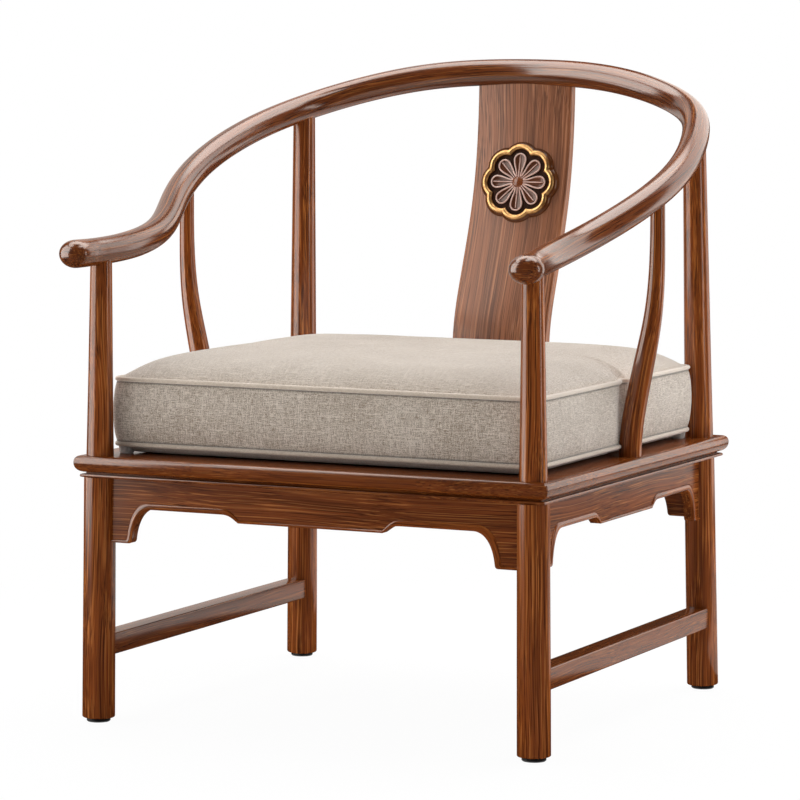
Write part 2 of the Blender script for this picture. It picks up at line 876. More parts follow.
class Chair:
    """Hands finished pieces to the frame: body, stood-for nodes, slot and material."""

    def __init__(self, frame: dict, carver: Carver, finishes: Finishes) -> None:
        """Hold what every sub-assembly needs.

        Args:
            carver: the mesh maker.
            finishes: the materials.
        """
        self.frame = frame
        self.carver = carver
        self.finishes = finishes

    def fit(
        self,
        piece: bpy.types.Object,
        material: bpy.types.Material,
        nodes: Sequence[str] = (),
        body: str = "frame",
    ) -> bpy.types.Object:
        """Dress a piece and let it ride.

        Args:
            piece: the new piece.
            material: its finish.
            nodes: CAD nodes that it stands for.
            body: CAD body that it rides on.

        Returns:
            The same piece.
        """
        piece.data.materials.clear()
        piece.data.materials.append(material)
        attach(piece, body)
        if nodes:
            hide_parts(*nodes)
        LOG.info("%s: %d faces", piece.name, len(piece.data.polygons))
        return piece

    def dress(self, node: str, material: bpy.types.Material) -> None:
        """Give a CAD node that stays its material."""
        data = self.frame["nodes"][node].data
        data.materials.clear()
        data.materials.append(material)
        LOG.info("%s: kept", node)


class Assembly(Protocol):
    """A part of the chair that makes and dresses its own pieces."""

    def build(self, chair: Chair) -> None:
        """Make the pieces and hand them to the chair."""


# ------------------------------------------------------------------------------ joinery
@dataclass
class CrestRail:
    """The horseshoe rail: five scarfed lengths on one line, with a rounded hand at each end."""

    half: tuple[Point, ...] = (
        (0.0, 400.0, 870.0),
        (156.0, 368.5, 860.0),
        (281.0, 302.5, 825.5),
        (340.0, 188.5, 786.0),
        (359.5, 68.0, 740.5),
        (342.5, -46.0, 695.5),
        (310.5, -152.0, 658.0),
        (304.0, -260.0, 639.0),
        (323.5, -365.5, 632.5),
    )
    radius: float = 19.0
    hand_wide: float = 23.0
    hand_high: float = 18.8
    hand_past: float = 19.5
    hand_from: float = 22.0
    hand_ease: float = 34.0
    neck_from: float = 70.0
    neck_ease: float = 90.0
    cap: float = 21.0
    cap_turn: float = 0.94
    cap_fade: float = 20.0
    scarfs: Flat = (190.0, 490.0)
    step: float = 8.0

    def __post_init__(self) -> None:
        """Lay the whole line from the left hand to the right hand."""
        left = [(-x, y, z) for x, y, z in reversed(self.half)]
        self.line = Line([*left, *self.half[1:]])
        self.middle = self.line.length / 2
        self.last = self.middle + self.hand_past

    def section(self, distance: float) -> Flat:
        """Half width and half height of the rail at a distance from its middle."""
        inward = self.last - abs(distance)
        hand = (inward - self.hand_from) / self.hand_ease
        neck = (inward - self.neck_from) / self.neck_ease
        wide = between(neck, between(hand, self.hand_wide, self.radius - 0.4), self.radius)
        high = between(neck, between(hand, self.hand_high, self.radius - 0.6), self.radius)
        if inward < self.cap:
            share = math.sqrt(max(1 - (1 - inward / self.cap) ** 2, 0.0))
            wide, high = wide * share, high * share
        return max(wide, 0.05), max(high, 0.05)

    def station(self, distance: float) -> Station:
        """The rail's plane at a distance to the right of its middle."""
        mark = distance + self.middle
        wide, high = self.section(distance)
        turned = self.cap_turn * eased(1 - (self.last - abs(distance)) / self.cap_fade)
        return Station(upright(self.line.at(mark), self.line.heading(mark), wide, high), mark, turned)

    def marks(self, start: float, end: float) -> list[float]:
        """Distances of the stations of one length, closer together at a hand."""
        count = max(2, round(abs(end - start) / self.step))
        marks = [start + (end - start) * i / count for i in range(count + 1)]
        deep = self.hand_from
        for tip in (self.last, -self.last):
            if tip in (start, end):
                near = [mark for mark in marks if abs(tip - mark) > deep + 2.0]
                rounding = [deep * (1 - math.cos(math.pi / 2 * i / 9)) for i in range(10)]
                marks = [*near, *(tip - math.copysign(inward, tip) for inward in rounding)]
        return sorted(marks)

    def build(self, chair: Chair) -> None:
        """Make the five lengths."""
        near, far = self.scarfs
        lengths = {
            "crest_arm_left": (-self.last, -far),
            "crest_bend_left": (-far, -near),
            "crest_back": (-near, near),
            "crest_bend_right": (near, far),
            "crest_arm_right": (far, self.last),
        }
        seed = chair.carver.seed
        for node, (start, end) in lengths.items():
            chair.carver.seed = seed
            stations = [self.station(mark) for mark in self.marks(start, end)]
            piece = chair.carver.carried("rail_" + node, oval(1.0, 1.0, 40), stations, crease=60.0)
            chair.fit(piece, chair.finishes.rail, [node])
        for side in Side:
            chair.dress(f"crest_key_back_{side.word}", chair.finishes.along_x)
            chair.dress(f"crest_key_arm_{side.word}", chair.finishes.along_x)


@dataclass
class Legs:
    """Four legs that run up as posts through the seat frame, on black glides."""

    foot: Flat = (318.0, 311.0)
    tops: dict[End, Point] = field(
        default_factory=lambda: {End.FRONT: (311.5, 315.5, 614.0), End.REAR: (303.8, 281.0, 806.0)}
    )
    ends: dict[End, float] = field(default_factory=lambda: {End.FRONT: 634.0, End.REAR: 818.0})
    posts: dict[End, Flat] = field(default_factory=lambda: {End.FRONT: (18.4, 14.3), End.REAR: (20.2, 15.7)})
    foot_radius: float = 22.1
    seat_radius: float = 21.4
    glide: float = 6.0
    shoulder: float = 332.5
    waist: float = 8.5

    def axis(self, side: Side, end: End, height: float) -> Vector:
        """The centre line's point at a height."""
        x, y, z = self.tops[end]
        share = height / z
        across = self.foot[0] + (x - self.foot[0]) * share
        deep = self.foot[1] + (y - self.foot[1]) * share
        return Vector((side.value * across, end.value * deep, height))

    def stations(self, side: Side, end: End) -> list[Station]:
        """Planes up the leg: eased foot, taper, shoulder, waist inside the seat frame, slim post."""
        low, high = self.posts[end]
        top = self.ends[end]
        heading = (self.axis(side, end, top) - self.axis(side, end, 0)).normalized()
        levels = [
            (self.glide, self.foot_radius - 1.3),
            (self.glide + 0.5, self.foot_radius - 0.5),
            (self.glide + 1.6, self.foot_radius),
            (120.0, self.foot_radius - 0.2),
            (240.0, self.seat_radius + 0.1),
            (self.shoulder - 0.4, self.seat_radius),
            (self.shoulder, low - self.waist),
            (self.shoulder + 27.0, low - self.waist),
            (self.shoulder + 27.5, low),
        ]
        run = top - self.shoulder
        levels += [(z, low + (high - low) * (z - self.shoulder) / run) for z in (450.0, 540.0, top)]
        square, other = square_to(heading)
        return [Station(framed(self.axis(side, end, z), square * r, other * r), z) for z, r in levels]

    def build(self, chair: Chair) -> None:
        """Make the legs and dress the glides and their nails."""
        for side in Side:
            for end in End:
                name = f"{end.word}_{side.word}_leg"
                stations = self.stations(side, end)
                piece = chair.carver.carried("post_" + name, oval(1.0, 1.0, 40), stations, crease=50.0)
                chair.fit(piece, chair.finishes.leg, [name])
                chair.dress(f"foot_glide_{end.word}_{side.word}", chair.finishes.glide)
                chair.dress(f"glide_nail_{end.word}_{side.word}", chair.finishes.nail)


@dataclass
class SidePosts:
    """S-curved posts between the side rails and the arms."""

    line: tuple[tuple[float, float, float, float], ...] = (
        (318.5, 13.5, 361.0, 15.4),
        (321.5, 13.0, 405.0, 15.2),
        (329.5, 12.5, 450.0, 14.7),
        (340.0, 12.0, 500.0, 13.8),
        (349.2, 11.5, 550.0, 12.4),
        (354.0, 11.0, 605.0, 11.0),
        (354.8, 10.5, 665.0, 10.1),
        (354.5, 10.0, 716.0, 9.9),
    )
    spans: int = 45
    sunk: float = 0.5

    def stations(self, side: Side) -> list[Station]:
        """Planes up one post, the first one level on the seat rail."""
        curve = Line([(side.value * x, y, z, r) for x, y, z, r in self.line])
        x, y, z, radius = self.line[0]
        foot = framed(Vector((side.value * x, y, z - self.sunk)), ACROSS * -radius, INWARDS * -radius)
        stations = [Station(foot, 0.0)]
        for i in range(1, self.spans + 1):
            mark = curve.length * i / self.spans
            x, y, z, radius = curve.at(mark)
            square, other = square_to(curve.heading(mark).to_3d().normalized())
            stations.append(Station(framed(Vector((x, y, z)), square * radius, other * radius), mark))
        return stations

    def build(self, chair: Chair) -> None:
        """Make both posts."""
        for side in Side:
            name, stations = f"curved_post_{side.word}", self.stations(side)
            piece = chair.carver.carried(name, oval(1.0, 1.0, 32), stations, crease=60.0)
            chair.fit(piece, chair.finishes.wood, [f"side_post_{side.word}"])


@dataclass
class SeatFrame:
    """Mitred seat frame with a rounded edge over a thin bead, floating panel and battens."""

    half_wide: float = 343.0
    half_deep: float = 338.0
    rail: float = 68.0
    low: float = 332.0
    high: float = 361.0
    corner: float = 3.6

    def section(self) -> list[Flat]:
        """Rail section: x from the inner edge outwards, y up from the underside."""
        w, t = self.rail, self.high - self.low
        points: list[Flat] = [(0.0, 0.0), (w - 8.2, 0.0)]
        points += bent((w - 8.2, 0.0), (w - 5.6, 0.0), (w - 5.6, 4.2), (w - 8.2, 4.2), 5)
        points += [(w - 13.0, 4.4), (w - 12.6, 6.6)]
        points += bent((w - 12.6, 6.6), (w - 3.6, 7.0), (w, 12.8), (w, 20.0), 9)
        points += bent((w, 20.0), (w, 25.2), (w - 2.8, t), (w - 8.0, t), 9)
        points += [(1.0, t), (0.0, t - 1.0)]
        return points

    def build(self, chair: Chair) -> None:
        """Make the four rails and dress the panel and battens."""
        section = self.section()
        for half in (*Side, *End):
            stations = self.stations(1 if isinstance(half, Side) else 0, half.value)
            piece = chair.carver.carried(f"seat_edge_{half.word}", section, stations, crease=38.0)
            chair.fit(piece, chair.finishes.frame, [f"seat_rail_{half.word}"])
            if isinstance(half, Side):
                chair.dress(f"seat_batten_{half.word}", chair.finishes.along_y)
        chair.dress("seat_panel", chair.finishes.along_x)

    def corner_lines(self, axis: int) -> list[tuple[Vector, Vector]]:
        """Inner and outer plan points of a rail's end at the right rear corner, from the mitre inwards."""
        lines = []
        r = self.corner
        for turn in (1.0, 0.66, 0.33, 0.0):
            angle = math.pi / 4 * turn
            if axis == 0:
                angle = math.pi / 2 - angle
            across, deep = r * (1 - math.cos(angle)), r * (1 - math.sin(angle))
            outer = Vector((self.half_wide - across, self.half_deep - deep, self.low))
            inner = Vector((self.half_wide - self.rail, self.half_deep - self.rail, self.low))
            inner[axis] -= 0.6 * (1 - turn)
            lines.append((inner, outer))
        return lines

    def stations(self, axis: int, sign: int) -> list[Station]:
        """Planes along one rail, from one mitre to the other.

        Args:
            axis: 1 for a side rail, which runs front to back, 0 for the front or rear one.
            sign: which of the two rails it is.

        Returns:
            The stations, in order.
        """

        def moved(spot: Vector, along: float) -> Vector:
            """A corner's point on this rail, moved along it."""
            made = spot.copy()
            made[1 - axis] *= sign
            made[axis] = along
            return made

        lines = self.corner_lines(axis)
        stops = [(moved(a, -a[axis]), moved(b, -b[axis])) for a, b in lines]
        inner, outer = lines[-1]
        stops += [(moved(inner, along), moved(outer, along)) for along in (-160.0, 0.0, 160.0)]
        stops += [(moved(a, a[axis]), moved(b, b[axis])) for a, b in reversed(lines)]
        return [Station(framed(a, (b - a) / self.rail, UP), b[axis]) for a, b in stops]


@dataclass
class Aprons:
    """Shaped aprons with a raised bead along the lower edge."""

    face: Flat = (319.0, 317.0)
    half: Flat = (311.0, 314.9)
    steps: Flat = (94.0, 105.0)
    low: float = 281.5
    high: float = 292.0
    ear: float = 245.0
    top: float = 332.5
    thick: float = 14.0
    ear_wide: float = 50.0
    housed: float = 12.0
    bead: Flat = (4.0, 8.0)
    proud: float = 2.0

    def edge(self, which: int, thin: float, wide: float) -> list[Flat]:
        """A shaped line over an apron's whole length.

        Args:
            which: 0 for a side apron, 1 for the front or rear one.
            thin: how far it lies above the lower edge on the low stretch and the ears.
            wide: how far it lies from the lower edge elsewhere.

        Returns:
            Points as distance from the middle and height.
        """
        half, step = self.half[which], self.steps[which]
        low, high, ear = self.low + thin, self.high + wide, self.ear + thin
        ear_x = half - self.ear_wide + wide
        rise, drop = high - low, high - ear
        points: list[Flat] = [(0.0, low), (step * 0.5, low), (step, low)]
        points += bent((step, low), (step + 9, low + rise * 0.6), (step + 13, high), (step + 25, high), 10)
        reach = ear_x - 32
        points += [(step + 25 + (reach - step - 25) * share, high) for share in (0.33, 0.66, 1.0)]
        drooped = (ear_x - 4, high - drop * 0.32)
        points += bent((reach, high), (ear_x - 16, high), drooped, (ear_x - 1, ear + 4), 16)
        points += bent((ear_x - 1, ear + 4), (ear_x, ear + 1), (ear_x + 1, ear), (ear_x + 4, ear), 5)
        points += [(half - self.housed, ear)]
        return [(-x, z) for x, z in reversed(points[1:])] + points

    def place(self, which: int, sign: float, along: float, high: float, out: float) -> Vector:
        """A point of an apron from its distance along, height and distance out of its face."""
        if which == 0:
            return Vector((sign * (self.face[0] + out), along, high))
        return Vector((along, sign * (self.face[1] + out), high))

    def board(self, chair: Chair, name: str, which: int, sign: float) -> bpy.types.Object:
        """The flat board, cut to the lower edge and backing the bead."""
        lower = self.edge(which, 0.0, 0.0)
        outline = [*lower, (lower[-1][0], self.top), (lower[0][0], self.top)]
        push = self.place(which, sign, 0.0, 0.0, -self.thick) - self.place(which, sign, 0.0, 0.0, 0.0)
        mesh = chair.carver.slab([self.place(which, sign, x, z, 0.0) for x, z in outline], push)
        chair.carver.grained(mesh, 1 - which)
        return chair.carver.finished(name, mesh, 30.0)

    def beading(self, chair: Chair, name: str, which: int, sign: float) -> bpy.types.Object:
        """The raised bead that follows the lower edge."""
        lower, groove = self.edge(which, 0.0, 0.0), self.edge(which, *self.bead)
        section = [(0.0, -1.5), (-0.03, 0.4), (0.08, 0.82), (0.28, 1.0), (0.52, 0.98)]
        section += [(0.78, 0.72), (0.95, 0.30), (1.0, -0.2), (1.0, -1.5)]
        stations = []
        along = 0.0
        last = None
        for (x0, z0), (x1, z1) in zip(lower, groove):
            foot = self.place(which, sign, x0, z0, 0.0)
            rise = self.place(which, sign, x1, z1, 0.0) - foot
            out = self.place(which, sign, x0, z0, self.proud) - foot
            along += (foot - last).length if last else 0.0
            last = foot
            stations.append(Station(framed(foot, rise, out), along))
        return chair.carver.carried(name, section, stations, crease=50.0)

    def build(self, chair: Chair) -> None:
        """Make the four aprons."""
        for half in (*Side, *End):
            node, which = f"apron_{half.word}", 0 if isinstance(half, Side) else 1
            board = self.board(chair, "board_" + node, which, half.value)
            chair.fit(board, chair.finishes.board, [node])
            bead = self.beading(chair, "bead_" + node, which, half.value)
            chair.fit(bead, chair.finishes.wood)


@dataclass
class Stretchers:
    """Side stretchers between the front and rear legs."""

    wide: float = 29.0
    high: float = 28.8
    low: float = 89.2
    outer: float = 331.6
    reach: Flat = (-297.0, 293.0)

    def build(self, chair: Chair) -> None:
        """Make both stretchers."""
        for side in Side:
            x, z = side.value * (self.outer - self.wide / 2), self.low + self.high / 2
            stops = (self.reach[0], -150.0, 0.0, 150.0, self.reach[1])
            stations = [Station(framed(Vector((x, y, z)), ACROSS, UP), y) for y in stops]
            outline = rounded(self.wide, self.high, 2.0)
            piece = chair.carver.carried(f"low_stretcher_{side.word}", outline, stations, crease=50.0)
            chair.fit(piece, chair.finishes.frame, [f"stretcher_{side.word}"])


@dataclass
class Splat:
    """The S-curved back splat and its carved medallion."""

    face: tuple[Flat, ...] = (
        (305.0, 361.0),
        (302.0, 430.0),
        (304.0, 500.0),
        (327.0, 571.0),
        (356.0, 643.0),
        (376.5, 712.0),
        (387.0, 782.0),
        (391.0, 872.0),
    )
    wide: float = 147.0
    thick: float = 18.0
    arris: float = 3.6
    top: float = 862.0
    spans: int = 64

    def build(self, chair: Chair) -> None:
        """Make the board and its medallion."""
        curve = Line([(0.0, y, z) for y, z in self.face])
        stations = []
        for i in range(self.spans + 1):
            mark = curve.length * i / self.spans
            inward = ACROSS.cross(curve.heading(mark)).normalized()
            back = -inward if inward.y < 0 else inward
            spot = curve.at(mark) + back * (self.thick / 2)
            if spot.z > self.top:
                break
            stations.append(Station(framed(spot, ACROSS, back), mark))
        outline = rounded(self.wide, self.thick, self.arris, 6)
        piece = chair.carver.carried("curved_splat", outline, stations, crease=50.0)
        chair.fit(piece, chair.finishes.splat, ["back_splat"])
        mark = min(range(int(curve.length)), key=lambda i: abs(curve.at(i).z - Medallion.height))
        Medallion(framed(curve.at(mark), ACROSS, curve.heading(mark))).build(chair)


@dataclass
class Medallion:
    """Lobed medallion: moulded rim, gilt bead, dark ground and a flower of rounded petals."""

    place: Matrix
    height: float = 710.0
    lobes: int = 8
    centres: float = 31.0
    inner: float = 17.6
    outer: float = 30.0
    bead: float = 25.4
    ground: float = 20.0
    field_rise: float = 4.4
    petal_root: Flat = (3.0, 8.0)
    petal_tip: Flat = (8.6, 33.2)
    ridge: float = 1.15
    boss_radius: float = 9.4
    boss_rise: float = 4.4

    def spot(self, radius: float, turn: float, rise: float) -> Vector:
        """A point from its distance from the middle, its angle and its rise off the face."""
        return self.place @ Vector((radius * math.sin(turn), radius * math.cos(turn), rise))

    def lobe_line(self, lobe_radius: float, per_lobe: int = 14) -> list[Flat]:
        """The eight-lobed line as radius and angle, closed."""
        step = 2 * math.pi / self.lobes
        cusp = step / 2
        aside = self.centres * math.sin(cusp)
        reach = self.centres * math.cos(cusp) + math.sqrt(lobe_radius**2 - aside**2)
        across, up = reach * math.sin(cusp), reach * math.cos(cusp) - self.centres
        half = math.atan2(across, up)
        points = []
        for lobe in range(self.lobes):
            for i in range(per_lobe):
                angle = -half + 2 * half * i / per_lobe
                x = lobe_radius * math.sin(angle)
                y = self.centres + lobe_radius * math.cos(angle)
                points.append((math.hypot(x, y), lobe * step + math.atan2(x, y)))
        return [*points, (points[0][0], points[0][1] + 2 * math.pi)]

    def ribbon(self, chair: Chair, name: str, outer: float, section: Sequence[Flat]) -> bpy.types.Object:
        """Carry a section round between two lobed lines.

        Args:
            chair: the chair that is built.
            name: name of the new piece.
            outer: lobe radius at the section's x of 1.
            section: closed outline, y as rise in millimetres.

        Returns:
            The new piece.
        """
        stations = []
        for (r0, a0), (r1, a1) in zip(self.lobe_line(self.inner), self.lobe_line(outer)):
            foot, far = self.spot(r0, a0, 0.0), self.spot(r1, a1, 0.0)
            rise = self.spot(r0, a0, 1.0) - foot
            stations.append(Station(framed(foot, far - foot, rise), a0 * 40.0))
        return chair.carver.carried(name, section, stations, looped=True, crease=55.0)

    def strip(
        self, chair: Chair, turn: float, path: Sequence[Point], section: Sequence[Flat]
    ) -> bpy.types.Object:
        """Carry a section along a path in the medallion's plane.

        Args:
            chair: the chair that is built.
            turn: how far the path is swung round the middle.
            path: points as x, y outwards from the middle, and the section's half width.
            section: closed outline, x in half widths, y as rise in millimetres.

        Returns:
            The new piece.
        """
        swing = Matrix.Rotation(-turn, 3, "Z")
        flat = self.place.to_3x3()
        out = flat @ UP
        stations = []
        for i, (x, y, wide) in enumerate(path):
            ahead, behind = path[min(i + 1, len(path) - 1)], path[max(i - 1, 0)]
            level = Vector((ahead[1] - behind[1], behind[0] - ahead[0], 0.0)).normalized()
            here = self.place @ (swing @ Vector((x, y, 0.0)))
            stations.append(Station(framed(here, flat @ (swing @ level) * wide, out), i * 3.0))
        return chair.carver.carried("strip", section, stations, crease=80.0)

    def petal(self, chair: Chair, turn: float) -> tuple[list[bpy.types.Object], bpy.types.Object]:
        """One petal: an outline ridge and a rib down the middle, and the hollow leaf between them."""
        (root, base), (wide, tip) = self.petal_root, self.petal_tip
        low, high = self.field_rise, self.field_rise + 2.6
        side = [(root + (wide - root) * eased(i / 9), base + (tip - base) * i / 9) for i in range(10)]
        turns = [math.pi * i / 12 for i in range(1, 12)]
        round_end = [(wide * math.cos(a), tip + wide * math.sin(a)) for a in turns]
        outline = [*side, *round_end, *[(-x, y) for x, y in reversed(side)]]
        ridge = [(x, high + 1.5 * y) for x, y in oval(1.0, 1.0, 10)]
        edge = self.strip(chair, turn, [(x, y, self.ridge) for x, y in outline], ridge)
        spans = ((5.0, 0.9), (20.0, 0.85), (34.0, 0.8), (38.8, 0.5))
        rib = self.strip(chair, turn, [(0.0, y, w) for y, w in spans], ridge)
        hollow = [(-1, 0), (1, 0), (1, high), (0.5, low + 1.0), (0, low + 2.0), (-0.5, low + 1.0), (-1, high)]
        spans = ((6.0, 2.6), (14.0, 4.4), (22.0, 6.7), (30.0, 8.4))
        spans += ((34.0, 8.6), (38.4, 6.8), (40.8, 3.8), (41.7, 1.0))
        leaf = self.strip(chair, turn, [(0.0, y, w) for y, w in spans], hollow)
        return [edge, rib], leaf

    def boss(self, chair: Chair) -> bpy.types.Object:
        """The small domed middle of the flower."""
        flat = self.place.to_3x3()
        stations = []
        for i in range(9):
            angle = math.pi / 2 * i / 8
            radius = max(self.boss_radius * math.cos(angle), 0.05)
            here = self.place @ Vector((0, 0, self.field_rise + 1.6 + self.boss_rise * math.sin(angle)))
            plane = framed(here, flat @ (ACROSS * radius), flat @ (INWARDS * radius))
            stations.append(Station(plane, i * 2.0))
        return chair.carver.carried("medallion_boss", oval(1.0, 1.0, 24), stations, crease=80.0)

    def field(self, chair: Chair) -> bpy.types.Object:
        """The sunk ground behind the flower."""
        rise = self.field_rise
        outline = [self.spot(r, a, rise) for r, a in self.lobe_line(self.ground)[:-1]]
        mesh = chair.carver.slab(outline, self.spot(0, 0, -rise) - self.spot(0, 0, 0.0))
        chair.carver.grained(mesh, 2)
        return chair.carver.finished("medallion_field", mesh)

    def build(self, chair: Chair) -> None:
        """Make rim, bead, ground and flower."""
        finishes = chair.finishes
        wall = [(0.0, 0.0), (1.0, -2.5), (1.0, 0.8), (0.9, 3.6)]
        wall += [(0.72, 6.2), (0.55, 7.4), (0.12, 7.4), (0.02, 6.0)]
        moulding = self.ribbon(chair, "medallion_moulding", self.outer, wall)
        chair.fit(moulding, finishes.moulding, ["medallion_rim"])
        round_bead = [(0.5 + x, 7.0 + y) for x, y in oval(0.5, 3.2, 14)]
        bead = self.ribbon(chair, "medallion_gilt_bead", self.bead, round_bead)
        chair.fit(bead, finishes.gilt, ["medallion_bead"])
        chair.fit(self.field(chair), finishes.ground, ["medallion_ground"])
        petals = [self.petal(chair, 2 * math.pi * i / self.lobes) for i in range(self.lobes)]
        ridges = chair.carver.joined("medallion_petals", [piece for lines, _ in petals for piece in lines])
        chair.fit(ridges, finishes.carving, ["medallion_flower"])
        leaves = chair.carver.joined("medallion_leaves", [leaf for _, leaf in petals])
        chair.fit(leaves, finishes.leaf)
        chair.fit(self.boss(chair), finishes.boss)


# ------------------------------------------------------------------------------ cushion
@dataclass
class Cushion:
    """Loose box cushion: crowned top, boxed sides, piping on both seams, tucked underside."""

    half_wide: float = 307.5
    front: float = -288.5
    back: float = 271.5
    seam_low: float = SEAMS[0]
    seam_high: float = SEAMS[1]
    rest: float = 361.6
    crown: float = 34.5
    shoulder: float = 27.0
    corner: float = 16.0
    notch: Point = (318.5, 13.5, 18.4)
    notch_grid: float = 27.0
    notch_lean: float = 60.0
    bulge: float = 8.0
    filled: float = 0.2
    swelling: float = 5.6
    piping: float = 3.1
    rows: int = 10
    zip_reach: float = 210.0
    edge_ticks: tuple[float, ...] = (0.0, 2.2, 4.8, 8.0, 11.8, 16.0, 21.0, 27.0, 34.0, 42.0, 51.0)

    @property
    def middle(self) -> float:
        """The cushion's middle, front to back."""
        return (self.front + self.back) / 2

    @property
    def half_deep(self) -> float:
        """Half of the cushion's depth."""
        return (self.back - self.front) / 2

    def ticks(self, half: float, notch: float | None) -> list[float]:
        """Grid marks across a panel, closer along its edges and round the post."""
        marks = [sign * (half - d) for d in self.edge_ticks for sign in (-1, 1)]
        inner = half - self.edge_ticks[-1]
        count = round(2 * inner / 11.0)
        marks += [-inner + 2 * inner * i / count for i in range(1, count)]
        if notch is not None:
            marks = [mark for mark in marks if abs(mark - notch) > self.notch_grid]
            marks += [notch + self.notch_grid * i / 9 for i in range(-9, 10)]
        return sorted(marks)

    def wall(self, off: float) -> float:
        """How far out the side reaches at a distance from the post, with eased lips."""
        away = abs(off)
        px, _, radius = self.notch
        if away >= radius + 8.0:
            return self.half_wide
        deep = px - math.sqrt(max(radius * radius - away * away, 0.0))
        plain = min(self.half_wide, deep)
        return plain + (self.half_wide - plain) * eased((away - (radius - 4.0)) / 9.0)

    def inset(self, x: float, y: float) -> Flat:
        """A point of the square panel moved into its rounded and notched outline."""
        hx, hy, r = self.half_wide, self.half_deep, self.corner
        u, v = (abs(x) - (hx - r)) / r, (abs(y) - (hy - r)) / r
        if u > 0 and v > 0:
            nx, ny = u * math.sqrt(1 - v * v / 2) * r, v * math.sqrt(1 - u * u / 2) * r
            return math.copysign(hx - r + nx, x), math.copysign(hy - r + ny, y)
        lean = min(max((abs(x) - (hx - self.notch_lean)) / self.notch_lean, 0.0), 1.0)
        limit = self.wall(y + self.middle - self.notch[1])
        return math.copysign(abs(x) - (hx - limit) * lean, x), y

    def depth(self, x: float, y: float) -> Flat:
        """Distance inside the outline, and along the nearest edge to its corner."""
        dx = self.wall(y + self.middle - self.notch[1]) - abs(x)
        dy = self.half_deep - abs(y)
        cx, cy = self.corner - dx, self.corner - dy
        inside = self.corner - math.hypot(cx, cy) if cx > 0 and cy > 0 else min(dx, dy)
        return max(inside, 0.0), max(dx, dy, 0.0)

    def rim(self) -> list[Vector]:
        """The seam's outline in plan, closed, anticlockwise from the right side's middle."""
        hx, hy, r = self.half_wide, self.half_deep, self.corner
        points: list[Vector] = []
        spans = (
            ((1, 1), (hx, -(hy - r)), (hx, hy - r), 0.0),
            ((-1, 1), (hx - r, hy), (-(hx - r), hy), 90.0),
            ((-1, -1), (-hx, hy - r), (-hx, -(hy - r)), 180.0),
            ((1, -1), (-(hx - r), -hy), (hx - r, -hy), 270.0),
        )
        for (sx, sy), start, end, turn in spans:
            notched = start[0] == end[0]
            count = round(math.dist(start, end) / (2.5 if notched else 7.0))
            for i in range(count):
                x, y = (a + (b - a) * i / count for a, b in zip(start, end))
                if notched:
                    x = math.copysign(self.wall(y + self.middle - self.notch[1]), x)
                points.append(Vector((x, y + self.middle, 0.0)))
            for i in range(9):
                angle = math.radians(turn + 10.0 * i)
                x, y = sx * (hx - r) + r * math.cos(angle), sy * (hy - r) + r * math.sin(angle)
                points.append(Vector((x, y + self.middle, 0.0)))
        return points

    def shell(self, carver: Carver) -> bpy.types.Object:
        """The sewn cover before it is filled, with its seams in a group and cloth UVs."""
        xs = self.ticks(self.half_wide, None)
        ys = self.ticks(self.half_deep, self.notch[1] - self.middle)
        mesh = bmesh.new()
        uv = mesh.loops.layers.uv.new("cloth")
        seam = mesh.verts.layers.int.new("seam")
        bmesh.ops.create_grid(mesh, x_segments=len(xs) - 1, y_segments=len(ys) - 1, size=1.0)
        for vert in mesh.verts:
            i = round((vert.co.x + 1) / 2 * (len(xs) - 1))
            j = round((vert.co.y + 1) / 2 * (len(ys) - 1))
            x, y = self.inset(xs[i], ys[j])
            vert.co = Vector((x, y + self.middle, self.seam_high))
            vert[seam] = 1 if vert.is_boundary else 0
        for face in mesh.faces:
            for loop in face.loops:
                loop[uv].uv = loop.vert.co.xy * MM
        edges = [edge for edge in mesh.edges if edge.is_boundary]
        copied = bmesh.ops.duplicate(mesh, geom=[*mesh.verts, *mesh.edges, *mesh.faces])
        for vert in points_of(copied["geom"]):
            vert.co.z = self.seam_low
        for _ in range(self.rows):
            ring, edges = drawn_out(mesh, edges)
            for vert in ring:
                vert.co.z -= (self.seam_high - self.seam_low) / self.rows
                vert[seam] = 0
            for face in {f for e in edges for f in e.link_faces}:
                half = math.copysign(1.0, face.calc_center_median().x)
                for loop in face.loops:
                    spot = loop.vert.co
                    loop[uv].uv = ((spot.x + half * (spot.y - self.front)) * MM + BOXING_U, spot.z * MM)
        bmesh.ops.remove_doubles(mesh, verts=mesh.verts, dist=0.01)
        for vert in mesh.verts:
            vert.co = carver.placed(vert.co)
        marks = [i for i, vert in enumerate(mesh.verts) if vert[seam]]
        made = carver.finished("cushion_cover", mesh, 180.0)
        made.vertex_groups.new(name="seam").add(marks, 1.0, "REPLACE")
        return made

    def fill(self, cover: bpy.types.Object) -> np.ndarray:
        """Blow the cover up as cloth between its seams.

        Args:
            cover: the sewn cover.

        Returns:
            How far each point moved, in metres.
        """
        cloth = cover.modifiers.new("filling", "CLOTH")
        cloth.settings.quality = 4
        cloth.settings.mass = 0.3
        cloth.settings.tension_stiffness = cloth.settings.compression_stiffness = 12.0
        cloth.settings.bending_stiffness = 0.8
        cloth.settings.use_pressure = True
        cloth.settings.uniform_pressure_force = 4.0
        cloth.settings.vertex_group_mass = "seam"
        cloth.settings.effector_weights.gravity = 0.0
        cloth.collision_settings.use_collision = False
        for frame in range(1, 21):
            bpy.context.scene.frame_set(frame)
        shown = cover.evaluated_get(bpy.context.evaluated_depsgraph_get())
        moved = self.places(shown.data) - self.places(cover.data)
        cover.modifiers.clear()
        bpy.context.scene.frame_set(1)
        return moved

    @staticmethod
    def places(data: bpy.types.Mesh) -> np.ndarray:
        """Every point of a mesh as one array."""
        flat = np.empty(len(data.vertices) * 3)
        data.vertices.foreach_get("co", flat)
        return flat.reshape(-1, 3)

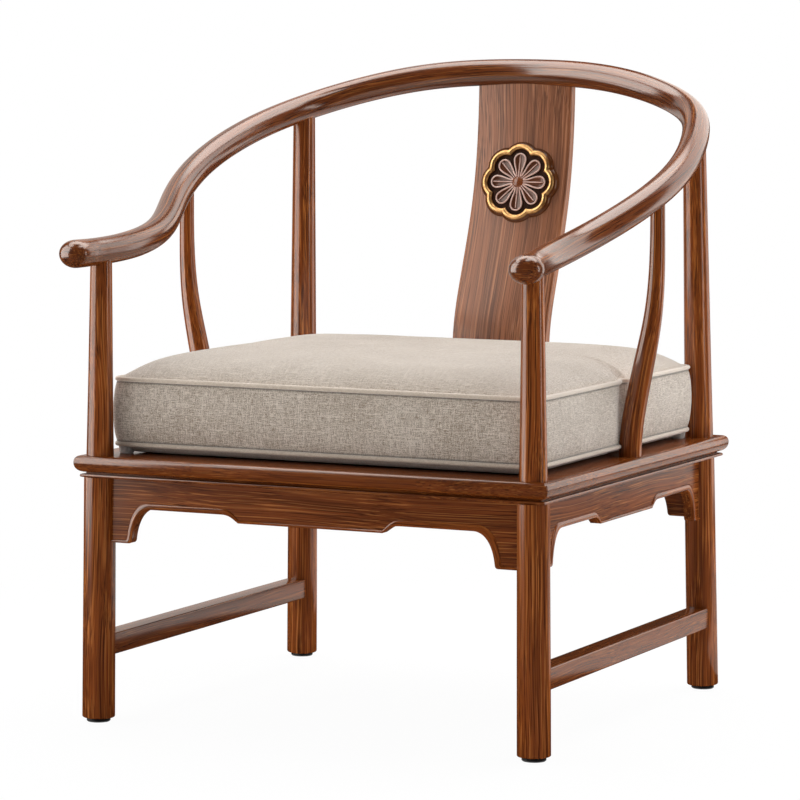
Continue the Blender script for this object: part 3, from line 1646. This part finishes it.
    def settle(self, cover: bpy.types.Object, moved: np.ndarray, shift: Vector) -> None:
        """Hold the filled cover to its real crown and bulge, and lay its underside flat.

        Args:
            cover: the sewn cover.
            moved: how far the filling moved each point, in metres.
            shift: the seat's middle in the frame, in metres.
        """
        rest = self.places(cover.data)
        top = rest[:, 2] > (self.seam_high - 0.01) * MM
        under = rest[:, 2] < (self.seam_low + 0.01) * MM
        side = ~top & ~under
        swell = np.abs(moved[:, 2]) / max(np.abs(moved[top, 2]).max(), 1e-9)
        lift = np.zeros_like(rest)
        out = np.zeros(rest.size)
        cover.data.vertices.foreach_get("normal", out)
        flat = out.reshape(-1, 3)[side, :2]
        flat /= np.maximum(np.linalg.norm(flat, axis=1, keepdims=True), 1e-9)
        share = (rest[side, 2] / MM - self.seam_low) / (self.seam_high - self.seam_low)
        blown = np.linalg.norm(moved[side, :2], axis=1)
        full = (1 - self.filled) * np.sin(math.pi * np.clip(share, 0, 1)) ** 0.6
        full += self.filled * blown / max(blown.max(), 1e-9)
        off = np.abs((rest[side, 1] - shift.y) / MM - self.notch[1])
        held = np.where(np.abs(rest[side, 0]) > 0.27, np.clip((off - 20.0) / 24.0, 0.0, 1.0), 1.0)
        lift[side, :2] = flat * (self.bulge * MM * full * held)[:, None]
        spent = math.exp(-self.swelling)
        for i in np.flatnonzero(top | under):
            x, y = rest[i, 0] / MM, (rest[i, 1] - shift.y) / MM - self.middle
            inside, corner = self.depth(x, y)
            if top[i]:
                shape = (1 - math.exp(-inside / self.shoulder)) * (1 - math.exp(-corner / self.shoulder))
                blown = (1 - math.exp(-self.swelling * swell[i])) / (1 - spent) if swell[i] > 0 else shape
                uneven = 0.7 * noise.noise(Vector((x, y, 0.0)) / 85.0) * min(inside / 40.0, 1.0)
                rise = (1 - self.filled) * shape + self.filled * blown
                lift[i, 2] = (self.crown * rise + uneven) * MM
            else:
                lift[i, 2] = (1 - (1 - min(inside / 30.0, 1.0)) ** 2) * (self.rest - self.seam_low) * MM
        cover.data.vertices.foreach_set("co", (rest + lift).reshape(-1))
        cover.data.update()

    def cord(self, carver: Carver, name: str, height: float) -> bpy.types.Object:
        """Piping round one seam, with a cloth map cut on the bias."""
        rim = self.rim()
        stations = []
        along = 0.0
        for i in range(len(rim) + 1):
            spot, after, before = (rim[k % len(rim)] for k in (i, i + 1, i - 1))
            out = Vector((after.y - before.y, before.x - after.x, 0.0)).normalized()
            here = Vector((spot.x, spot.y, height)) + out * 0.8
            stations.append(Station(framed(here, out * self.piping, UP * self.piping), along))
            along += (after - spot).length
        piece = carver.carried(name, oval(1.0, 1.0, 12), stations, looped=True, crease=180.0)
        stored = [item.vector.copy() for item in piece.data.attributes["grain"].data]

        def on_bias(point: int) -> Flat:
            """A point's place on the strip, which is cut across the cloth."""
            place = stored[point] - carver.offset
            around = math.atan2(place.y, place.x) * self.piping * MM
            return (place.z + around) * 0.707, (place.z - around) * 0.707

        carver.mapped(piece, on_bias)
        return piece

    def tabs(self, chair: Chair) -> None:
        """Pale lining tabs that show under the corners."""
        pieces = []
        levels = ((self.rest - 0.2, 0.92), (self.rest + 1.5, 0.97), (self.seam_low - 2.0, 1.1))
        inwards = 13.0
        for sx, sy in ((-1, -1), (-1, 1), (1, -1), (1, 1)):
            x, y = sx * (self.half_wide - inwards), sy * (self.half_deep - inwards) + self.middle
            stations = []
            for z, grow in levels:
                plane = framed(Vector((x, y, z)), ACROSS * grow, INWARDS * grow)
                stations.append(Station(plane, z))
            pieces.append(chair.carver.carried("tab", rounded(18.0, 18.0, 6.0), stations))
        made = chair.carver.joined("cushion_corner_tabs", pieces)
        spots = [vert.co.copy() for vert in made.data.vertices]
        chair.carver.mapped(made, lambda point: (spots[point].x + spots[point].y, spots[point].z))
        chair.fit(made, chair.finishes.lining, body="cushion")

    def zipper(self, chair: Chair) -> None:
        """Closed zip along the back boxing: two tapes, teeth and a pull."""
        z = (self.seam_high + self.seam_low) / 2
        y = self.back + self.bulge * 0.9 + 0.7
        reach = self.zip_reach
        stops = (-reach, -reach / 3, reach / 3, reach)
        stations = [Station(framed(Vector((x, y, z)), INWARDS, UP), x) for x in stops]
        half = [(-1.5, -8.0), (0.7, -8.0), (0.8, -2.2), (1.6, -1.6)]
        section = [*half, *[(x, -high) for x, high in reversed(half)]]
        tape = chair.carver.carried("zip_tapes", section, stations)
        hung = [Vector((reach - 14.0, y + 2.4, z - drop)) for drop in (-3.0, 2.0, 12.0, 18.0)]
        stations = [Station(framed(spot, ACROSS, INWARDS), z - spot.z) for spot in hung]
        pull = chair.carver.carried("zip_pull", rounded(5.0, 2.0, 0.8), stations)
        made = chair.carver.joined("cushion_back_zip", [tape, pull])
        chair.fit(made, chair.finishes.zip, ["cushion_zip"], body="cushion")

    def build(self, chair: Chair) -> None:
        """Make the cover, piping, tabs and zip."""
        cover = self.shell(chair.carver)
        moved = self.fill(cover)
        self.settle(cover, moved, chair.carver.shift)
        smooth = cover.modifiers.new("smooth", "SUBSURF")
        smooth.levels = smooth.render_levels = 1
        chair.fit(cover, chair.finishes.linen, ["cushion_pad"], body="cushion")
        for word, height in (("high", self.seam_high), ("low", self.seam_low)):
            cord = self.cord(chair.carver, f"cushion_piping_{word}", height)
            chair.fit(cord, chair.finishes.cord, body="cushion")
        self.tabs(chair)
        self.zipper(chair)


# ------------------------------------------------------------------------------ studio
@dataclass
class Studio:
    """Floor, soft boxes, toned cards and the camera, set out from the viewer's side of the chair.

    A lamp is its name, bearing, distance, height, size and glow, and faces the seat. A card is
    its name, the bearings between which it stands, its profile and its tone.
    """

    lens: float = 174.536
    camera: Point = (2.20324, -4.85310, 0.93006)
    turn: Point = (84.55071, -0.41398, 24.69668)
    ambient: float = 0.34
    seat: Point = (0.0, 0.0, 0.5)
    lamps: tuple[tuple[str, float, float, float, Flat, float], ...] = (
        ("left_box", -78.0, 2.8, 0.85, (2.7, 1.9), 2.1),
        ("right_strip", 71.0, 2.8, 0.85, (0.9, 1.8), 3.0),
        ("right_rear_box", 128.0, 2.8, 1.0, (1.8, 1.5), 2.9),
    )
    cards: tuple[tuple[str, Flat, tuple[Flat, ...], float], ...] = (
        ("tent", (-180.0, 180.0), ((1.2, 0.003), (2.4, 0.003), (2.4, 3.0), (0.01, 3.0)), 0.03),
        ("under_card", (-180.0, 180.0), ((0.01, 0.002), (1.3, 0.002)), 0.03),
        ("left_shine", (-108.0, -57.0), ((2.0, 0.05), (2.0, 2.5)), 4.6),
        ("right_shine", (61.0, 71.0), ((2.0, 0.30), (2.0, 1.6)), 3.6),
        ("right_rear_shine", (100.0, 136.0), ((2.0, 0.10), (2.0, 2.6)), 2.3),
        ("rear_shine", (-180.0, -140.0), ((2.0, 0.10), (2.0, 2.6)), 1.0),
        ("roof_shine", (75.0, 262.0), ((0.25, 2.65), (1.8, 2.65)), 5.0),
        ("rear_right_shine", (136.0, 165.0), ((2.0, 0.90), (2.0, 2.6)), 2.3),
        ("roof_front_shine", (-5.0, 75.0), ((0.25, 2.65), (0.8, 2.65)), 5.0),
        ("roof_left_shine", (262.0, 296.0), ((1.0, 2.65), (1.9, 2.65)), 4.5),
        ("right_floor", (90.0, 175.0), ((0.50, 0.004), (2.0, 0.004)), 1.1),
    )

    def spot(self, bearing: float, distance: float, height: float) -> Vector:
        """A place in the studio.

        Args:
            bearing: degrees to the viewer's right, from the line towards the camera.
            distance: distance from the middle, in metres.
            height: height above the floor, in metres.

        Returns:
            The place in the frame's axes.
        """
        angle = math.radians(bearing) + math.atan2(self.camera[1], self.camera[0])
        return Vector((distance * math.cos(angle), distance * math.sin(angle), height))

    def lamp(self, name: str, place: Vector, aim: Vector | None, size: Flat, glow: float) -> None:
        """Add one soft box, which lights the chair but isn't mirrored in it.

        Args:
            name: the lamp's name.
            place: its middle, in metres.
            aim: the point it faces, or None straight down.
            size: its width and height.
            glow: how bright its face is, where 1 is white.
        """
        data = bpy.data.lights.new(name, "AREA")
        data.shape = "RECTANGLE"
        data.size, data.size_y = size
        data.energy = glow * math.pi * size[0] * size[1]
        made = linked(name, data)
        made.location = place
        if aim is None:
            made.rotation_euler = (0.0, 0.0, math.atan2(self.camera[1], self.camera[0]) + math.pi / 2)
        else:
            made.rotation_euler = (aim - place).to_track_quat("-Z", "Y").to_euler()
        made.visible_camera = made.visible_glossy = False

    def world(self) -> None:
        """White where it is seen straight or mirrored, a plain fill elsewhere."""
        made = bpy.data.worlds.new("studio")
        bpy.context.scene.world = made
        made.use_nodes = True
        made.node_tree.nodes.clear()
        sheet = Sheet(made.node_tree)
        inputs = {"Color": WHITE, "Strength": sheet.span(sheet.shown(), 0.0, 1.0, self.ambient, 1.0)}
        sheet.shader("ShaderNodeBackground", inputs, "ShaderNodeOutputWorld")

    def laid(self, name: str, mesh: bmesh.types.BMesh, finish: bpy.types.Material) -> bpy.types.Object:
        """Put a stage piece in the scene."""
        data = bpy.data.meshes.new(name)
        mesh.to_mesh(data)
        mesh.free()
        data.materials.append(finish)
        made = linked(name, data)
        return made

    def floor(self) -> None:
        """A white floor that keeps a faint shadow near the chair."""
        paint, sheet = new_material("floor_white")
        matt = sheet.node("ShaderNodeBsdfDiffuse", {"Color": (0.86, 0.86, 0.86, 1)})
        glow = sheet.node("ShaderNodeEmission", {"Color": WHITE, "Strength": 1.0})
        place = {0: sheet.node("ShaderNodeTexCoord").outputs["Object"]}
        away = sheet.node("ShaderNodeVectorMath", place, operation="LENGTH").outputs["Value"]
        share = sheet.math("MULTIPLY", sheet.shown(), sheet.span(away, 0.5, 1.3, 0.965, 1.0))
        sheet.shader("ShaderNodeMixShader", {0: share, 1: matt.outputs[0], 2: glow.outputs[0]})
        mesh = bmesh.new()
        bmesh.ops.create_grid(mesh, x_segments=1, y_segments=1, size=30.0)
        self.laid("floor", mesh, paint)

    def card(self, name: str, sweep: Flat, profile: Sequence[Flat], tone: float) -> None:
        """A toned card bent round the chair, out of view, that only the lacquer mirrors.

        Args:
            name: the card's name.
            sweep: bearings between which it stands.
            profile: its section as distance and height, in metres.
            tone: how bright it looks, where 1 is white.
        """
        felt, sheet = new_material(name)
        sheet.shader("ShaderNodeEmission", {"Color": (1.0, 0.94, 0.88, 1), "Strength": tone})
        mesh = bmesh.new()
        verts = [mesh.verts.new(self.spot(sweep[0], distance, height)) for distance, height in profile]
        edges = [mesh.edges.new(pair) for pair in zip(verts, verts[1:])]
        turn = math.radians(sweep[1] - sweep[0])
        bmesh.ops.spin(mesh, geom=[*verts, *edges], axis=(0, 0, 1), cent=(0, 0, 0), angle=turn, steps=24)
        made = self.laid(name, mesh, felt)
        made.visible_camera = made.visible_diffuse = made.visible_shadow = made.visible_transmission = False

    def build(self) -> None:
        """Set up the whole studio."""
        self.world()
        self.floor()
        above = self.spot(180.0, 1.7, 3.3) + self.spot(90.0, 0.6, 0.0)
        self.lamp("overhead", above, None, (4.9, 4.2), 3.35)
        for name, bearing, distance, height, size, glow in self.lamps:
            self.lamp(name, self.spot(bearing, distance, height), Vector(self.seat), size, glow)
        for card in self.cards:
            self.card(*card)
        data = bpy.data.cameras.new("view")
        data.lens = self.lens
        data.sensor_width = 36.0
        data.clip_end = 100.0
        eye = linked("view", data)
        eye.location = self.camera
        eye.rotation_euler = tuple(math.radians(a) for a in self.turn)
        bpy.context.scene.camera = eye
        bpy.context.scene.view_settings.view_transform = "Standard"


def main() -> None:
    """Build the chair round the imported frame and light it."""
    logging.basicConfig(level=logging.INFO, format="%(name)s %(message)s")
    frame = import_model()
    low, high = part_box("seat_rail_left")
    chair = Chair(frame, Carver((low.y + high.y) / 2), Finishes())
    Studio().build()
    kinds: tuple[type[Assembly], ...] = (
        CrestRail, Legs, SidePosts, SeatFrame, Aprons, Stretchers, Splat, Cushion
    )
    for kind in kinds:
        LOG.info("building %s", kind.__name__)
        kind().build(chair)


if __name__ == "__main__":
    main()
